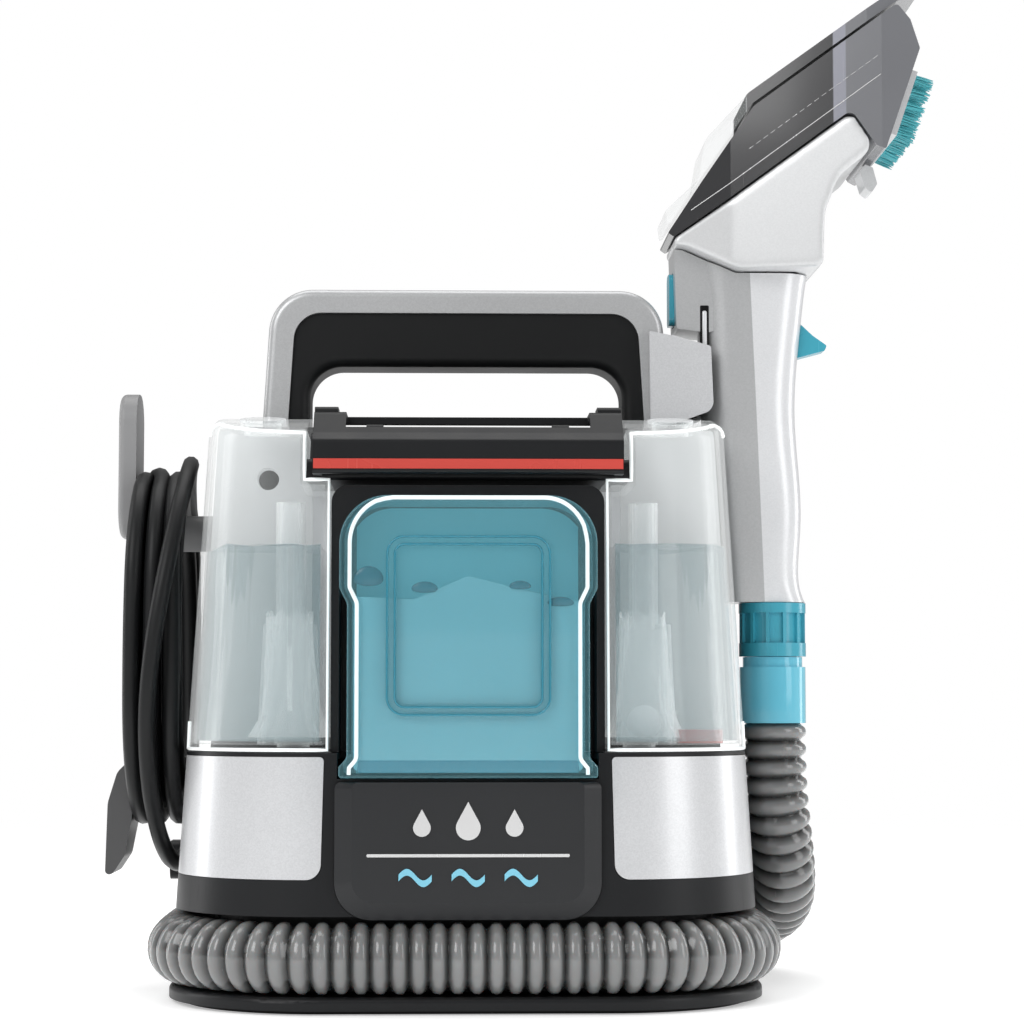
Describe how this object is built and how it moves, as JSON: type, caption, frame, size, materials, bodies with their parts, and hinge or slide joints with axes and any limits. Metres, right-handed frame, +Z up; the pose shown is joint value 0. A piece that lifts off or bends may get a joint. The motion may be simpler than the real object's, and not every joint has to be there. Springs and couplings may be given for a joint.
{
  "type": "portable carpet cleaner",
  "caption": "Portable spot and upholstery cleaner with lift-off clear tanks, slide-out cartridge, carry handle, spray wand, wrapped suction hose and wound power cord.",
  "frame": {"origin": "on the floor under the middle of the rubber foot ring", "axes": "+Z up, -Y to the front with the cartridge and badge, +X to the side that holds the wand, as seen from the front"},
  "size_m": [0.4106, 0.2752, 0.4941],
  "materials": {
    "charcoal_plastic": "fine moulded texture",
    "silver_plastic": "satin metallic paint",
    "pale_plastic": "satin",
    "badge_plastic": "satin",
    "badge_silver": "brushed",
    "badge_blue": "gloss",
    "rubber_black": "matt",
    "handle_silver": "satin metallic paint",
    "grip_black": "soft touch",
    "cord_black": "matt",
    "hose_grey": "translucent ribbed",
    "clear_plastic": "clear",
    "teal_clear": "clear tinted",
    "teal_plastic": "gloss",
    "red_plastic": "gloss",
    "hook_grey": "satin",
    "dark_hook": "satin",
    "wand_grey": "satin metallic paint",
    "wand_white": "gloss paint",
    "head_grey": "satin paint",
    "shroud_dark": "smoked gloss",
    "steel": "zinc plated",
    "pump_white": "plain",
    "board_green": "plain",
    "motor_metal": "drawn can"
  },
  "bodies": {
    "chassis": {"foot_ring": "rubber_black", "base_tray": "charcoal_plastic", "hose_port": "charcoal_plastic", "lower_housing": "charcoal_plastic", "side_panel_left": "silver_plastic", "side_panel_right": "silver_plastic", "badge_panel": "badge_plastic", "badge_marks": "badge_silver", "badge_waves": "badge_blue", "exhaust_grille": "charcoal_plastic", "housing_screws": "steel", "tower_shell": "charcoal_plastic", "tower_front_wall": "pale_plastic", "centre_spine": "charcoal_plastic", "button_bezel": "pale_plastic", "fan_housing": "charcoal_plastic", "suction_motor": "motor_metal", "water_pump": "pump_white", "control_board": "board_green", "handle_shell": "handle_silver", "handle_grip": "grip_black", "wand_cradle": "silver_plastic", "cradle_liner": "grip_black", "cord_hook_lower": "dark_hook", "strain_relief": "rubber_black", "power_cord_lead": "cord_black", "power_cord_coil": "cord_black", "power_plug": "cord_black", "suction_hose": "hose_grey"},
    "tank_module": {"recovery_tank": "clear_plastic", "clean_tank": "clear_plastic", "recovery_standpipe": "clear_plastic", "clean_standpipe": "clear_plastic", "recovery_filter": "red_plastic", "tank_plugs": "rubber_black", "tank_bridge": "charcoal_plastic", "latch_rod": "steel"},
    "float": {"recovery_float": "pale_plastic"},
    "latch": {"tank_latch": "charcoal_plastic", "latch_stripe": "red_plastic"},
    "solution_cartridge": {"solution_tank": "teal_clear", "solution_cap": "teal_plastic"},
    "power_button": {"power_button": "rubber_black"},
    "cord_hook": {"cord_hook_upper": "hook_grey"},
    "fan": {"impeller": "pump_white"},
    "wand": {"wand_rear_shell": "wand_grey", "wand_front_shell": "wand_white", "wand_spigot": "charcoal_plastic", "wand_collar": "teal_plastic", "trigger_pin": "steel", "spray_valve": "pump_white"},
    "trigger": {"trigger": "teal_plastic"},
    "release_button": {"release_button": "teal_plastic"},
    "tool_head": {"head_body": "head_grey", "head_shroud": "shroud_dark", "head_cover": "clear_plastic", "brush_plate": "wand_white", "brush_bristles": "teal_plastic", "spray_nozzle": "charcoal_plastic"},
    "cuff": {"hose_cuff": "teal_clear"}
  },
  "joints": [
    {"name": "tank_lift", "type": "slide", "parent": "chassis", "child": "tank_module", "axis": [0, 0, 1], "range_m": [0, 0.16]},
    {"name": "float_rise", "type": "slide", "parent": "tank_module", "child": "float", "axis": [0, 0, 1], "range_m": [0, 0.028]},
    {"name": "latch_swing", "type": "hinge", "parent": "tank_module", "child": "latch", "pos_m": [0, -0.071, 0.2685], "axis": [-1, 0, 0], "range_deg": [0, 22], "stiffness_Nm_per_rad": 0.5},
    {"name": "cartridge_pull", "type": "slide", "parent": "chassis", "child": "solution_cartridge", "axis": [0, -1, 0], "range_m": [0, 0.09]},
    {"name": "power_press", "type": "slide", "parent": "chassis", "child": "power_button", "axis": [0, 1, 0], "range_m": [0, 0.0015], "stiffness_N_per_m": 600},
    {"name": "cord_hook_turn", "type": "hinge", "parent": "chassis", "child": "cord_hook", "pos_m": [-0.15, 0.01, 0.2258], "axis": [1, 0, 0], "range_deg": [0, 180]},
    {"name": "fan_spin", "type": "hinge", "parent": "chassis", "child": "fan", "pos_m": [0, 0.038, 0.13], "axis": [0, 0, 1], "continuous": true},
    {"name": "wand_lift", "type": "slide", "parent": "chassis", "child": "wand", "axis": [0, 0, 1], "range_m": [0, 0.05]},
    {"name": "trigger_pull", "type": "hinge", "parent": "wand", "child": "trigger", "pos_m": [0.1625, 0.008, 0.333], "axis": [0, 1, 0], "range_deg": [0, 12], "stiffness_Nm_per_rad": 0.4},
    {"name": "release_press", "type": "slide", "parent": "wand", "child": "release_button", "axis": [1, 0, 0], "range_m": [0, 0.002], "stiffness_N_per_m": 600},
    {"name": "head_slide", "type": "slide", "parent": "wand", "child": "tool_head", "axis": [0, 0, 1], "range_m": [0, 0.04]},
    {"name": "cuff_swivel", "type": "hinge", "parent": "wand", "child": "cuff", "pos_m": [0.1545, 0.008, 0.15], "axis": [0, 0, 1], "continuous": true}
  ]
}
